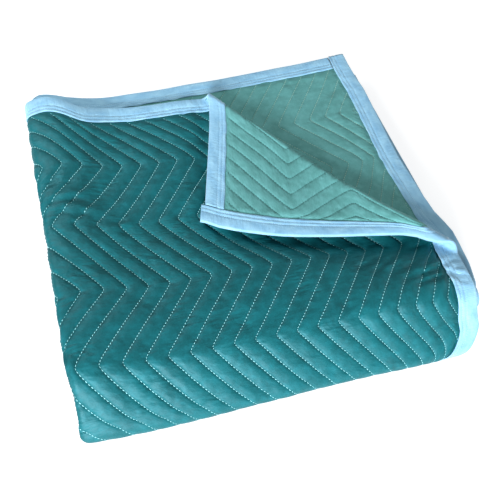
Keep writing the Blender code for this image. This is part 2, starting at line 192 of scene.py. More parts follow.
# Wave of the flap's front edge: along, how far forward of a straight line it lies
TURN_WAVE = metres(
    (0, -1.3), (18, 2.9), (40, 3.8), (62, 3.3), (85, 2.4), (110, 0.5), (142, -3.7), (178, -8.8),
    (213, -14.2), (250, -19.7), (275, -24), (293, -24.1), (312, -12), (326, 2), (345, 0),
    (370, 0),
)


def smooth(value):
    """Eases from 0 to 1 as the value does."""
    value = np.clip(value, 0.0, 1.0)
    return value ** 2 * (3 - 2 * value)


def bell(value, middle, spread):
    """A bump of height 1 at its middle."""
    return np.exp(-((value - middle) / spread) ** 2)


def join(*parts):
    """Arrays side by side along a new last axis."""
    return np.stack(parts, axis=-1)


def column(table, index, key):
    """A column of a table, read at key along its first column."""
    return np.interp(key, table[:, 0], table[:, index])


def rounded_path(corners):
    """A polyline with round corners: stations, points as y + iz, headings, and its bends' spans."""
    points = [complex(y, z) for _, y, z, _ in corners]
    station, here, bends = [0.0], [points[0]], []
    heading = [np.angle(points[1] - points[0]) % (2 * np.pi)]

    def go(length, point, turn=0.0):
        station.append(station[-1] + length)
        here.append(point)
        heading.append(heading[-1] + turn)

    for before, corner, after, row in zip(points, points[1:], points[2:], corners[1:]):
        radius = row[3]
        incoming = (corner - before) / abs(corner - before)
        outgoing = (after - corner) / abs(after - corner)
        turn = np.angle(outgoing * incoming.conjugate())
        start = corner - incoming * radius * np.tan(abs(turn) / 2)
        centre = start + np.sign(turn) * radius * 1j * incoming
        go(abs(start - here[-1]), start)
        bends.append((station[-1], station[-1] + radius * abs(turn)))
        steps = int(np.ceil(abs(turn) / np.radians(PATH_DEGREES)))
        for _ in range(steps):
            spoke = (here[-1] - centre) * np.exp(1j * turn / steps)
            go(radius * abs(turn) / steps, centre + spoke, turn / steps)
    go(abs(points[-1] - here[-1]), points[-1])
    return np.array(station), np.array(here), np.array(heading), bends


PATH_STATION, PATH_POINT, PATH_HEADING, PATH_BENDS = rounded_path(SECTION)
REAR_OFFSET = np.interp(REAR_EDGE_Y, PATH_POINT[1::-1].real, PATH_STATION[1::-1])
PATH_STATION = PATH_STATION - REAR_OFFSET
# Stations where the first four bends start and end
(TOP_START, _), (FOOT_START, FOOT_END), (REAR_START, REAR_MIDDLE), (_, REAR_END) = (
    (start - REAR_OFFSET, end - REAR_OFFSET) for start, end in PATH_BENDS[:4])


def path(station):
    """y, z and heading of the section at a station."""
    return [np.interp(station, PATH_STATION, values)
            for values in (PATH_POINT.real, PATH_POINT.imag, PATH_HEADING)]


def slip(across, along):
    """How far a point has slipped towards the front of the pile, against its place in the cloth."""
    reach = np.abs(across)
    at_fold, share = column(SLIP, 1, along), column(SLIP, 2, along)
    near_fold = bell(reach, 0.0, SLIP_SPREAD)
    at_fold = at_fold - CURL * share * bell(reach, 0.0, CURL_SPREAD)
    under = share * (UNDER_SLIP + UNDER_SKEW * reach ** 2)
    corner = column(CORNER_BACK, 1, reach) * bell(along, 0.0, CORNER_FADE)
    return -at_fold * near_fold - np.where(across > 0, 0.0, (1 - near_fold) * under + corner)


def swell(x, y):
    """Local height of the pile as a share of its plain height."""
    depth = np.clip((y - SWELL_FRONT_Y) / SWELL_DEPTH, 0.0, SWELL_REST)
    wave = UNEVEN
    for by_x, by_y, start in UNEVEN_WAVES:
        wave = wave * np.sin(by_x * x + by_y * y + start)
    return 1.0 + SWELL * depth * bell(x, SWELL_X, SWELL_WIDTH) + wave


def half_turn(arc, radius, offset):
    """A sheet wrapped half round an edge: how far it runs past the centre, and its rise."""
    angle = np.clip(arc / radius, -np.pi / 2, np.pi / 2)
    straight = np.maximum(np.abs(arc) - radius * np.pi / 2, 0.0)
    run = straight - (radius + offset) * np.cos(angle)
    return run, (radius + offset) * np.sin(angle)


def turn_bow(place):
    """Bow of the corner's fold, at a share of the way along it."""
    return TURN_BOW * np.sin(np.pi * np.clip(place, 0.0, BOW_END) ** BOW_POWER / BOW_SPAN)


def turn_corner(across, along, lift):
    """Turns the corner of the top ply back over its diagonal fold."""
    place = join(across - TURN_REAR[0], along - TURN_REAR[1])
    down, beyond = place @ TURN_LINE, place @ TURN_OUT
    bow = turn_bow(down / TURN_LENGTH)
    start = -bow - np.pi / 2 * TURN_RADIUS
    angle = np.clip((beyond - start) / TURN_RADIUS, 0.0, np.pi)
    past = np.maximum(beyond - start - np.pi * TURN_RADIUS, 0.0)
    height = TURN_REST + (2 * TURN_RADIUS - TURN_REST) * np.exp(-past / TURN_SETTLE)
    turned = (start + (TURN_RADIUS - lift) * np.sin(angle) - past * (1 - TURN_TAKE_UP)
              + bow * (1 - np.exp(-past / TURN_BOW_FADE)))
    down = down + TURN_SKEW * past
    free = 1 - np.exp(-past / TURN_SETTLE)
    forward = (free * column(TURN_WAVE, 1, along)
               * np.clip(across / HALF_WIDTH, 0.0, 1.0) ** WAVE_POWER)
    inward = free * TURN_INSET * np.exp(-np.maximum(along, 0.0) / TURN_BOW_FADE)
    down = down + TURN_LINE[1] * forward + TURN_LINE[0] * inward
    turned = turned - TURN_LINE[0] * forward + TURN_LINE[1] * inward
    moved = beyond > start
    beyond = np.where(moved, turned, beyond)
    lift_bent = TURN_RADIUS - (TURN_RADIUS - lift) * np.cos(angle)
    lift = np.where(moved, np.where(past > 0, height - lift, lift_bent), lift)
    place = TURN_REAR + down[..., None] * TURN_LINE + beyond[..., None] * TURN_OUT
    return place[..., 0], place[..., 1], lift


def free_level(across, radius):
    """Level of a ply over the middle of its pair, as far as it is free of the left fold."""
    return half_turn(across, radius, 0.0)[1] * (1 - bell(across, 0.0, SLIP_SPREAD))


def on_path(arc, level):
    """Station where a ply at this level of the pair has used up this much cloth."""
    low, high = arc - PATH_SEARCH, arc + PATH_SEARCH
    for _ in range(PATH_HALVINGS):
        middle = (low + high) / 2
        used = middle + level * (path(middle)[2] - np.pi)
        low = np.where(used < arc, middle, low)
        high = np.where(used < arc, high, middle)
    return (low + high) / 2


def fold(across, along, lift):
    """World position of a point of the cloth."""
    across, along, lift = turn_corner(across, along, lift)
    arc = along + slip(across, along)
    height = swell(column(LEFT_EDGE, 1, arc) + np.abs(across), path(arc)[0])
    radius = PAIR_HALF * height - CROWN
    station = on_path(arc, free_level(across, radius))
    run, rise = half_turn(across, radius, lift)
    y, z, heading = path(station)
    x = column(LEFT_EDGE, 1, station) + radius + run - CENTRE_X
    x = x - column(LEFT_OUT, 1, station) * bell(across, 0.0, LEFT_SPREAD)
    right = np.where(across > 0, column(RIGHT_EDGE, 1, along), column(RIGHT_EDGE, 2, along))
    x = x + right * smooth((np.abs(across) - RIGHT_FROM) / (RIGHT_FULL - RIGHT_FROM))
    ease = np.clip((np.abs(across) - DRAWN_FROM) / (HALF_WIDTH - BAND - DRAWN_FROM), 0.0, 1.0)
    for middle, spread, amount in DRAWN_IN:
        x = x - amount * ease ** 2 * bell(station, middle, spread)
    y = y + rise * np.sin(heading) - CENTRE_Y
    y = y + FRONT_SKEW * x * np.clip(y / FRONT_Y, 0.0, 1.0)
    y = y - column(FRONT_OUT, 1, x) * np.clip(y / FRONT_Y, 0.0, 1.0) ** FRONT_OUT_POWER
    z = height * z - rise * np.cos(heading)
    return join(x, y, z)


def zigzag(along):
    """Sideways place of a stitch line, which turns round its peaks in a small curve."""
    phase = (along - FIRST_PEAK) / (2 * HALF_PERIOD) % 1.0
    wave = np.abs(2 * phase - 1) - 0.5
    from_peak = (0.5 - np.abs(wave)) * HALF_PERIOD
    middle = np.hypot(HALF_PERIOD / 2, PEAK_ROUND)
    return np.sign(wave) * PEAK_SLOPE * (middle - np.hypot(from_peak, PEAK_ROUND))


# ---- Surface of the quilt ----

OUTER_END = FOOT_END + 0.03  # the outer ply shows as far as this, along the cloth
UNDER_END = TOP_START + 0.01  # and the ply under it as far as this
UNDER_SHOWN = 0.2  # the under ply shows beyond this, across the cloth

LINES = int((HALF_WIDTH + SWING) / STITCH_PITCH) + 1  # stitch lines on each side
# Places of the panel's grid lines across a channel between two stitch lines, as shares of a pitch
FINE_LINES = (0.0, 0.05, 0.17, 0.38, 0.62, 0.83, 0.95)
COARSE_LINES = (0.0, 0.5)
FOLD_POINTS = (0.0, 0.0016, 0.0032, 0.0048, 0.0064, 0.009)
# Grid lines along each edge, as distances from it
EDGE_LINES = (0.0, 0.012, BINDING_WIDTH - 0.001, BINDING_WIDTH + 0.0015, BINDING_WIDTH + 0.004)
LEAST_GAP = 0.0006  # between two grid lines
END_CLEAR = 0.002  # the regular rows keep this far from the ends
BEND_STEPS = 40  # rows in half a period, round the sharpest bends
BEND_ROW = HALF_PERIOD / BEND_STEPS
FINE_ROW = HALF_PERIOD / 20
COARSE_ROW = HALF_PERIOD / 4
# Stretches of the cloth that go round a bend, as along positions: from, to, step of the rows
ROW_STEPS = (
    (0.38, 0.42, BEND_ROW),
    (0.42, 0.462, FINE_ROW),
    (0.462, 0.496, BEND_ROW),
    (0.496, 0.52, FINE_ROW),
    (0.915, 1.02, FINE_ROW),
    (1.35, 1.455, FINE_ROW),
)

SHOWN_CROWN = 0.0031  # half the thickness on the crowns where the quilt shows
SHOWN_GROOVE = 0.0008  # and along a stitch line
GREEN_GROOVE = 0.0017  # the same on the green face
TURNED_GROOVE = 0.0021  # and where it lies turned over, which is flatter
BAND_EASE = 0.008  # the quilt swells to its full height this far from the binding
BAND_LIP = 0.002  # and starts to swell this far inside it
ROUND = 0.48  # of a channel's section: lower is fuller, with a sharper valley
PUFF = 0.16  # unevenness of the filling, as a share of the crown's height
TAUT = 0.65  # the cloth is drawn flatter over the foot of the front
TAUT_AT = 0.487  # along the cloth
TAUT_SPREAD = 0.026
PINCH = 0.0014  # the teal face lies this much lower in its binding where the flap bends
PINCH_AT = 0.348  # along the cloth
PINCH_SPREAD = 0.04

# Soft creases: across and along of both ends, bow, half width, depth (a ridge is negative)
CREASES = metres(
    (200, 244, 474, 325, 0, 29, 13.2), (-204, 276, -478, 357, 0, 29, 13.2),
    (250, 15, 200, 222, 0, 16, 6.4), (-4, 132, 26, 143, 2, 3.6, -2), (0, 142, 40, 152, 2, 4, 2),
    (6, 170, 62, 162, 4, 3.8, -2.4), (6, 180, 64, 172, 4, 4, 2.2),
    (8, 186, 68, 198, -3, 3.8, -2.6), (6, 196, 72, 208, -3, 4.2, 2.4),
    (66, 224, 96, 214, 2, 4, -2), (2, 226, 40, 236, 4, 5, 0.8), (205, 40, 243, 72, 2, 5, 1.2),
    (200, 64, 240, 100, 2, 5, 1.2), (205, 92, 238, 124, 2, 5, 0.9),
    (350, 343, 390, 330, 2, 4.5, 2.6), (372, 353, 404, 338, 2, 4.2, 2.6),
    (384, 350, 420, 338, 2, 3.6, -2.6), (404, 359, 436, 350, 2, 3.8, 2.8),
    (410, 374, 478, 364, 3, 4.2, 3.4), (420, 366, 476, 356, 3, 3.6, -2.4),
    (418, 384, 474, 378, 2, 3.8, 2.4), (425, 328, 470, 318, 2, 4.5, 2),
    (110, 330, 150, 400, 4, 6, 0.8), (180, 335, 215, 405, 4, 6, 0.8),
    (245, 400, 270, 450, 3, 6, 0.8), (-474, 58, -430, 82, 3, 4.5, 1.4),
    (-474, 74, -420, 100, 3, 5, -0.8), (-300, 150, -420, 240, 4, 7, 1),
    (290, 40, 340, 110, 3, 5, -0.6), (330, 30, 370, 90, 3, 5, -0.6),
)
CREASE_END = 0.25  # share of its depth that a crease keeps at its ends
CREASE_POWER = 0.7  # how fast it deepens from them
# Broad rises and hollows: across and along of the middle, spread both ways, height
SWELLS = metres(
    (130, 400, 150, 30, -4.2), (262, 400, 75, 32, -4.6),
    (420, 392, 80, 44, 8.8), (75, 30, 40, 85, 3),
)
# Drift of the cloth inside its binding: across and along of the middle, spread both ways, shift
# both ways
DRIFTS = metres(
    (110, 140, 160, 110, 6.4, 0), (0, 120, 50, 50, 3.5, 0), (110, 112, 160, 55, 0, -5.2),
    (460, 106, 60, 70, 3.8, 5), (460, 215, 50, 50, 5, -0.5), (370, 90, 40, 50, -3, 3.5),
    (300, 330, 120, 70, 2.4, 0), (468, 332, 36, 42, 7.6, 0), (60, 498, 110, 27, 0, -14),
    (0, 395, 26, 60, 0, -8.5), (0, 212, 26, 45, 0, -6.5), (90, 400, 100, 60, 0, -2.5),
)
# And of the cloth together with its binding
BOUND_DRIFTS = metres(
    (80, 36, 140, 22, 0, 4), (77, 10, 23, 50, 0, 8),
)
DRIFT_EASE = 0.015  # the cloth drifts in full this far inside its binding
SETTLE = 0.0007  # broad unevenness of the cloth
SETTLE_FROM = 0.03  # which grows to its height this far from the left fold

# Noises over the cloth and the tape: size of a cell, seed
NOISES = {
    "filling": (0.021, 5),
    "settling": (0.045, 11),
    "tape": (0.009, 21),
    "puckers": (0.0062, 31),
    "tape edge": (0.011, 41),
}
NOISE_GRID = 64  # cells before it repeats
NOISE_START = (7.3, 3.1)


def noise(u, v, kind):
    """Smooth noise from -1 to 1 over a sheet, one swing to about each cell."""
    cell, seed = NOISES[kind]
    table = np.random.RandomState(seed).uniform(-1.0, 1.0, (NOISE_GRID, NOISE_GRID))
    u, v = np.asarray(u) / cell + NOISE_START[0], np.asarray(v) / cell + NOISE_START[1]
    left, low = np.floor(u).astype(int), np.floor(v).astype(int)
    ease_u, ease_v = smooth(u - left), smooth(v - low)

    def row(shift):
        low_row = (low + shift) % NOISE_GRID
        return (table[left % NOISE_GRID, low_row] * (1 - ease_u)
                + table[(left + 1) % NOISE_GRID, low_row] * ease_u)

    return row(0) * (1 - ease_v) + row(1) * ease_v


def edge_distance(across, along):
    """How far a point is from the nearest edge of the cloth."""
    return np.minimum(HALF_WIDTH - np.abs(across), np.minimum(along, CLOTH_LENGTH - along))


def crown_share(across, along):
    """Height of the quilting: 0 on a stitch line and in the binding, 1 on a crown."""
    phase = ((across - zigzag(along)) / STITCH_PITCH - LINE_PHASE) % 1.0
    section = np.sin(np.pi * phase) ** ROUND
    section = section * (1 - PUFF + PUFF * noise(across, along, "filling"))
    taut = TAUT * bell(along, TAUT_AT, TAUT_SPREAD) * (across > 0)
    section = 1 - (1 - section) * (1 - taut)
    return section * smooth((edge_distance(across, along) - BINDING_WIDTH) / BAND_EASE)


def quilt_half(across, along, side):
    """From the middle of the quilt to its teal face (side 1) or its green face (side -1)."""
    shown = ((across > 0) & (along < REAR_START)) | ((across < 0) & (along < UNDER_END))
    crown = np.where(shown, SHOWN_CROWN if side > 0 else CROWN, PLAIN)
    free = smooth((edge_distance(across, along) - BINDING_WIDTH + BAND_LIP) / BAND_EASE)
    groove = SHOWN_GROOVE if side > 0 else np.where(across > 0, TURNED_GROOVE, GREEN_GROOVE)
    pinched = bell(along, PINCH_AT, PINCH_SPREAD) * (across > 0) * (1 - free)
    return (RIM + (groove - RIM) * free + (crown - groove) * crown_share(across, along)
            - (PINCH if side > 0 else 0.0) * pinched)


def dent(across, along):
    """Creases and unevenness of the cloth, as a shift of its middle along its lift."""
    shift = np.zeros(np.shape(across))
    for left, near, right, far, bow, width, depth in CREASES:
        run = np.array((right - left, far - near))
        length = np.hypot(*run)
        run = run / length
        ahead = (across - left) * run[0] + (along - near) * run[1]
        aside = (along - near) * run[0] - (across - left) * run[1]
        share = np.clip(ahead / length, 0.0, 1.0)
        off_end = np.maximum(np.abs(ahead / length - 0.5) - 0.5, 0.0) * length
        aside = aside - bow * 4 * share * (1 - share)
        arch = np.sin(np.pi * share) ** CREASE_POWER
        fade = bell(off_end, 0.0, 2 * width) * (CREASE_END + (1 - CREASE_END) * arch)
        shift = shift - depth * fade * bell(aside, 0.0, width)
    for middle, row, wide, deep, height in SWELLS:
        shift = shift + height * bell(across, middle, wide) * bell(along, row, deep)
    shift = shift * np.where(across > 0, 1.0, -1.0)
    base = (across > 0) & (along > FOOT_START) & (along < REAR_MIDDLE)
    broad = SETTLE * noise(across, along, "settling") * smooth(np.abs(across) / SETTLE_FROM)
    return np.where(base, 0.0, shift + broad)


def place(across, along, lift):
    """World position of a point of the cloth, with its drift and creases."""
    lift = lift + dent(across, along)
    free = smooth((edge_distance(across, along) - BINDING_WIDTH) / DRIFT_EASE)
    sideways, lengthways = np.zeros(np.shape(across)), np.zeros(np.shape(across))
    for table, loose in ((DRIFTS, free), (BOUND_DRIFTS, 1.0)):
        for middle, row, wide, deep, right, forward in table:
            share = bell(across, middle, wide) * bell(along, row, deep) * loose
            sideways = sideways + right * share
            lengthways = lengthways + forward * share
    return fold(across + sideways, along + lengthways, lift)


# ---- Meshes ----

SEAM_STRETCH = 1.27  # of the layout that follows the stitch lines, along them


def add_object(name, data):
    piece = bpy.data.objects.new(name, data)
    bpy.context.scene.collection.objects.link(piece)
    return piece


def make_mesh(name, points, faces, slots=None, materials=(), flat=None, shares=None):
    """An object from points and faces, smooth, with its flat layout as its UV map."""
    mesh = bpy.data.meshes.new(name)
    mesh.from_pydata(points.tolist(), [], faces)
    for material in materials:
        mesh.materials.append(material)
    if slots is not None:
        mesh.polygons.foreach_set("material_index", np.asarray(slots, dtype=np.int32))
    mesh.shade_smooth()
    if flat is not None:
        corners = np.empty(len(mesh.loops), dtype=np.int32)
        mesh.loops.foreach_get("vertex_index", corners)
        seam = join(flat[:, 0] - zigzag(flat[:, 1]), flat[:, 1] * SEAM_STRETCH)
        for kind, places in (("cloth", flat), ("seam", seam)):
            layout = mesh.uv_layers.new(name=kind)
            layout.data.foreach_set("uv", places[corners].astype(np.float32).ravel())
    if shares is not None:
        crown = mesh.attributes.new("crown", "FLOAT", "POINT")
        crown.data.foreach_set("value", shares.astype(np.float32))
    mesh.update()
    return add_object(name, mesh)


def row_positions():
    """Along positions of the panel's rows: every peak of the zigzag, and steps between them."""
    rows = [row for inset in EDGE_LINES for row in (inset, CLOTH_LENGTH - inset)]
    peaks = int(CLOTH_LENGTH / HALF_PERIOD) + 2
    for peak in range(-2, peaks):
        start = FIRST_PEAK + peak * HALF_PERIOD
        for step in range(BEND_STEPS):
            along = start + step * BEND_ROW
            size = FINE_ROW if along < ROW_STEPS[0][0] else COARSE_ROW
            for low, high, inner in ROW_STEPS:
                if low <= along <= high:
                    size = inner
            if along < OUTER_END and step in (1, BEND_STEPS - 1):
                size = BEND_ROW
            on_step = step % round(size / BEND_ROW) == 0
            if on_step and END_CLEAR < along < CLOTH_LENGTH - END_CLEAR:
                rows.append(along)
    rows = sorted(rows)
    return [row for row, before in zip(rows, [-1.0] + rows) if row - before > LEAST_GAP]


def row_points(along):
    """Across positions of the panel's grid in one row, from left to right."""
    places = FOLD_POINTS + tuple(HALF_WIDTH - inset for inset in EDGE_LINES)
    kept = [side * value for value in places for side in (1, -1)]
    shift = float(zigzag(along))
    for line in range(-LINES, LINES):
        for share in FINE_LINES + COARSE_LINES:
            across = (line + LINE_PHASE + share) * STITCH_PITCH + shift
            if across > 0:
                fine = along < OUTER_END
            else:
                fine = along < UNDER_END and across < -UNDER_SHOWN
            if share in (FINE_LINES if fine else COARSE_LINES):
                kept.append(across)
    kept = sorted(value for value in kept if abs(value) <= HALF_WIDTH)
    firm = set(kept[:1] + kept[-1:])
    chosen = [kept[0]]
    for value in kept[1:]:
        if value - chosen[-1] > LEAST_GAP:
            chosen.append(value)
        elif value in firm:
            chosen[-1] = value
    return chosen


def zipped(near, far):
    """Triangles between two rows, each its points, along position and first index, joined so that
    they follow the stitch lines."""
    faces, i, j = [], 0, 0
    near_key, far_key = ([value - float(zigzag(along)) for value in points]
                         for points, along, _ in (near, far))
    near_last, far_last = len(near_key) - 1, len(far_key) - 1
    while i < near_last or j < far_last:
        corners = [near[2] + i, far[2] + j]
        if j == far_last or (i < near_last and near_key[i + 1] <= far_key[j + 1]):
            i += 1
            corners.insert(1, near[2] + i)
        else:
            j += 1
            corners.insert(1, far[2] + j)
        faces.append(tuple(corners))
    return faces


def make_panel(materials):
    """The quilted cloth: one closed sheet, teal on one face and grey green on the other."""
    across, along, faces, ends = [], [], [], []
    before = None
    for position in row_positions():
        row = (row_points(position), position, len(across))
        if before is not None:
            faces += zipped(before, row)
        before = row
        across += row[0]
        along += [position] * len(row[0])
        ends.append((row[2], len(across) - 1))
    across, along = np.array(across), np.array(along)
    count, last = len(across), before[2]
    points = np.concatenate([place(across, along, side * quilt_half(across, along, side))
                             for side in (1, -1)])
    loop = (list(range(0, ends[0][1] + 1)) + [end for _, end in ends[1:]]
            + list(range(ends[-1][1] - 1, last - 1, -1)) + [start for start, _ in ends[-2:0:-1]])
    under = [(a + count, c + count, b + count) for a, b, c in faces]
    rim = [(a, a + count, b + count, b) for a, b in zip(loop, loop[1:] + loop[:1])]
    slots = [0] * len(faces) + [1] * len(under) + [0] * len(rim)
    flat = join(across, along)
    crown = crown_share(across, along)
    return make_mesh("quilt", points, faces + under + rim, slots, materials,
                     np.concatenate((flat, flat)), np.concatenate((crown, crown)))


# ---- Thread ----

STITCH = 0.0041  # from one stitch to the next
STITCH_SHOWN = 0.0029  # length of thread that shows
THREAD = 0.00066  # its thickness
THREAD_RISE = 0.0002  # of its middle over the cloth
TAPE_STITCH = 0.003  # the same four on the tape
TAPE_SHOWN = 0.0021
TAPE_THREAD = 0.8 * THREAD
TAPE_THREAD_RISE = 0.0001
LINE_SHIFT = 0.37  # of the stitches from one line to the next, in stitches
SLOPE_STEP = 1e-4  # a line's slope is taken over this length
STITCH_CLEAR = 0.001  # the quilting stitches end this far from the binding
FOLD_SHOWN = 0.014  # stitches on the teal face are seen this far past the left fold
TURN_SHOWN = 0.03  # and on the green face this far before the turned corner's fold

# A stitch, in shares of its length and thickness: its ends, and the four points of two rings
STITCH_ENDS = ((-0.5, 0.0, -0.6), (0.5, 0.0, -0.6))
STITCH_RINGS = (-0.3, 0.3)
STITCH_SIDES = ((-0.5, 0.0), (0.0, 0.35), (0.5, 0.0), (0.0, -0.35))


def stitch_mesh(name, middle, direction, size, put, material):
    """Many short stitches as one mesh.  put(across, along, height) places their points."""
    length, thick = size
    rings = [(ring, *spot) for ring in STITCH_RINGS for spot in STITCH_SIDES]
    shape = np.array([STITCH_ENDS[0], *rings, STITCH_ENDS[1]]) * (length, thick, thick)
    around, last = len(STITCH_SIDES), len(shape) - 1
    faces = [(0, corner % around + 1, corner) for corner in range(1, around + 1)]
    for corner in range(1, around + 1):
        after = corner % around + 1
        faces += [(corner, after, after + around, corner + around),
                  (last, corner + around, after + around)]
    aside = join(direction[:, 1], -direction[:, 0])
    spots = (middle[:, None, :] + shape[None, :, 0:1] * direction[:, None, :]
             + shape[None, :, 1:2] * aside[:, None, :])
    height = np.broadcast_to(shape[None, :, 2], spots.shape[:2])
    points = put(spots[..., 0], spots[..., 1], height).reshape(-1, 3)
    every = [tuple(corner + first for corner in face)
             for first in range(0, len(points), len(shape)) for face in faces]
    return make_mesh(name, points, every, materials=[material])


def beyond_turn(across, along):
    """How far a point lies past the diagonal fold of the corner."""
    return (across - TURN_REAR[0]) * TURN_OUT[0] + (along - TURN_REAR[1]) * TURN_OUT[1]


def quilt_stitches(side):
    """Middles and directions of the quilting stitches that show on one face of the cloth."""
    stretch = math.hypot(1.0, PEAK_SLOPE)
    spots, ways = [], []
    for line in range(-LINES, LINES):
        first = (line * LINE_SHIFT % 1.0) * STITCH
        along = np.arange(BINDING_WIDTH + first, CLOTH_LENGTH - BINDING_WIDTH, STITCH / stretch)
        across = (line + LINE_PHASE) * STITCH_PITCH + zigzag(along)
        rising = (zigzag(along + SLOPE_STEP) - zigzag(along)) / SLOPE_STEP
        spots.append(join(across, along))
        ways.append(join(rising, np.ones_like(rising)) / stretch)
    spots, ways = np.concatenate(spots), np.concatenate(ways)
    across, along = spots[:, 0], spots[:, 1]
    inside = np.abs(across) < HALF_WIDTH - BINDING_WIDTH - STITCH_CLEAR
    at_bend = np.zeros(len(spots), dtype=bool)
    for low, high, _ in ROW_STEPS:
        at_bend |= (along > low) & (along < high)
    if side > 0:
        shown = (across > 0) & (along < REAR_END)
        shown = shown | (np.abs(across) < FOLD_SHOWN) | at_bend
    else:
        shown = (along < UNDER_END) & ((across < 0) | (beyond_turn(across, along) > -TURN_SHOWN))
    keep = inside & shown
    return spots[keep], ways[keep]


def make_quilt_thread(side, name, material, turned=None):
    """Quilting stitches of one face, all of them or those in or out of the turned corner."""
    spots, ways = quilt_stitches(side)
    if turned is not None:
        keep = (spots[:, 0] > 0) == turned
        spots, ways = spots[keep], ways[keep]

    def put(across, along, height):
        half = quilt_half(across, along, side)
        return place(across, along, side * (half + height + THREAD_RISE))

    return stitch_mesh(name, spots, ways, (STITCH_SHOWN, THREAD), put, material)


# ---- Binding ----

TAPE_STEP = 0.0027  # between the rows of a strip's grid
# Section of the tape, from the rim to its inner edge: inset, rise of its surface
TAPE_SECTION = metres(
    (0, 0), (6, 0.2), (11.5, 0.15), (13.5, -0.1), (14.5, -0.45), (15.5, 0), (17.2, 0.25),
    (19, 0.05), (20, -0.35), (21, 0.15), (23, 0.4), (24.4, 0.25), (25, -0.5),
)
TAPE_SEAMS = (0.0145, 0.02)  # insets of its two rows of stitches
WRAP_STEPS = 8  # round the rim
LAP_OUT = 0.0048  # the upper strip runs this far past the cloth at the flap's tip
# Puckered stretches: strip, middle along it, spread, height of the wrinkles
PUCKERS = (
    ("binding_upper_edge", 0.38, 0.026, 0.003),
    ("binding_rear_end", 0.215, 0.035, 0.0013),
    ("binding_rear_end", 0.1, 0.06, 0.0006),
    ("binding_lower_edge", 0.06, 0.05, 0.0005),
)
PUCKER_SLANT = 0.25  # sideways run of the wrinkles, as a share of their length
PUCKER_CLOSE = 0.45  # lower draws the wrinkles out across the tape
RIPPLE = 0.00027  # height of the ripples all over the tape
TAPE_WAVER = 0.0009  # how far its inner edge strays
WAVER_CLOSE = 0.1  # lower makes that more alike across the tape
WAVER_FROM = 0.02  # inset where it starts
WAVER_EASE = 0.005  # and it is full this much further in
RIM_EASE = 0.002  # the tape is plain this near the rim
END_STITCH = 0.003  # its stitches stop this far from its ends
QUARTER_TURN = BINDING_RADIUS * np.pi / 2  # of the tape round the rim


def pucker(name, run, wrap):
    """Small wrinkles that run across a strip."""
    rise = RIPPLE * noise(run, wrap, "tape")
    for strip, middle, spread, height in PUCKERS:
        if strip == name:
            wrinkle = noise(run + PUCKER_SLANT * wrap, PUCKER_CLOSE * wrap, "puckers")
            rise = rise + height * bell(run, middle, spread) * wrinkle
    return rise


def tape_point(name, run, wrap, side, rise=0.0):
    """Tape coordinates to inset and lift: side is 1 on its outer face and -1 on its inner one."""
    inset, lift = half_turn(wrap, BINDING_RADIUS, side * BINDING_THICKNESS / 2)
    waver = TAPE_WAVER * noise(run, WAVER_CLOSE * wrap, "tape edge")
    inset = inset + waver * smooth((inset - WAVER_FROM) / WAVER_EASE)
    if side > 0:
        flat = smooth(inset / RIM_EASE)
        extra = (column(TAPE_SECTION, 1, inset) + pucker(name, run, wrap)) * flat + rise
        lift = lift + np.sign(wrap) * extra
    return inset, lift


def make_strip(name, length_range, cloth_of, material):
    """A binding strip, as a closed tape wrapped over one edge of the cloth."""
    insets = TAPE_SECTION[1:, 0]
    around = np.linspace(-QUARTER_TURN, QUARTER_TURN, WRAP_STEPS + 1)
    wraps = np.concatenate((-(insets[::-1] + QUARTER_TURN), around, insets + QUARTER_TURN))
    begin, finish = length_range
    runs = np.linspace(begin, finish, int((finish - begin) / TAPE_STEP) + 1)
    run, wrap = np.meshgrid(runs, wraps, indexing="ij")
    sides = []
    for side in (1, -1):
        inset, lift = tape_point(name, run, wrap, side)
        across, along = cloth_of(run, inset)
        sides.append(place(across, along, lift).reshape(-1, 3))
    index = np.arange(run.size).reshape(run.shape)
    quads = join(index[:-1, :-1], index[1:, :-1], index[1:, 1:], index[:-1, 1:])
    faces = quads.reshape(-1, 4).tolist()
    inner = [[corner + run.size for corner in quad[::-1]] for quad in faces]
    border = [*index[0], *index[1:, -1], *index[-1, -2::-1], *index[-2:0:-1, 0]]
    rim = [(a, b, b + run.size, a + run.size) for a, b in zip(border, border[1:] + border[:1])]
    flat = join(run.ravel(), wrap.ravel())
    return make_mesh(name + "_tape", np.concatenate(sides), faces + inner + rim,
                     materials=[material], flat=np.concatenate((flat, flat)))


def make_tape_thread(name, length_range, cloth_of, material):
    """Two rows of stitches on each face of a strip."""
    begin, finish = length_range
    runs = np.arange(begin + END_STITCH, finish - END_STITCH, TAPE_STITCH)
    spots = np.concatenate([join(runs, np.full(len(runs), half * (seam + QUARTER_TURN)))
                            for seam in TAPE_SEAMS for half in (1, -1)])
    ways = np.tile(np.array((1.0, 0.0)), (len(spots), 1))

    def put(run, wrap, height):
        inset, lift = tape_point(name, run, wrap, 1, rise=height + TAPE_THREAD_RISE)
        across, along = cloth_of(run, inset)
        return place(across, along, lift)

    return stitch_mesh(name + "_thread", spots, ways, (TAPE_SHOWN, TAPE_THREAD), put, material)


def strips():
    """Name, range of its length, and map to the cloth, for each of the four strips."""
    beyond = BINDING_RADIUS + BINDING_THICKNESS / 2
    short = HALF_WIDTH - BINDING_WIDTH - LAP_GAP
    whole = (-beyond, CLOTH_LENGTH + beyond)
    return (
        ("binding_upper_edge", (-beyond - LAP_OUT, CLOTH_LENGTH + beyond),
         lambda run, inset: (HALF_WIDTH - inset, run)),
        ("binding_lower_edge", whole, lambda run, inset: (inset - HALF_WIDTH, run)),
        ("binding_rear_end", (-short, short), lambda run, inset: (run, inset)),
        ("binding_far_end", (-short, short), lambda run, inset: (run, CLOTH_LENGTH - inset)),
    )


# ---- Materials ----

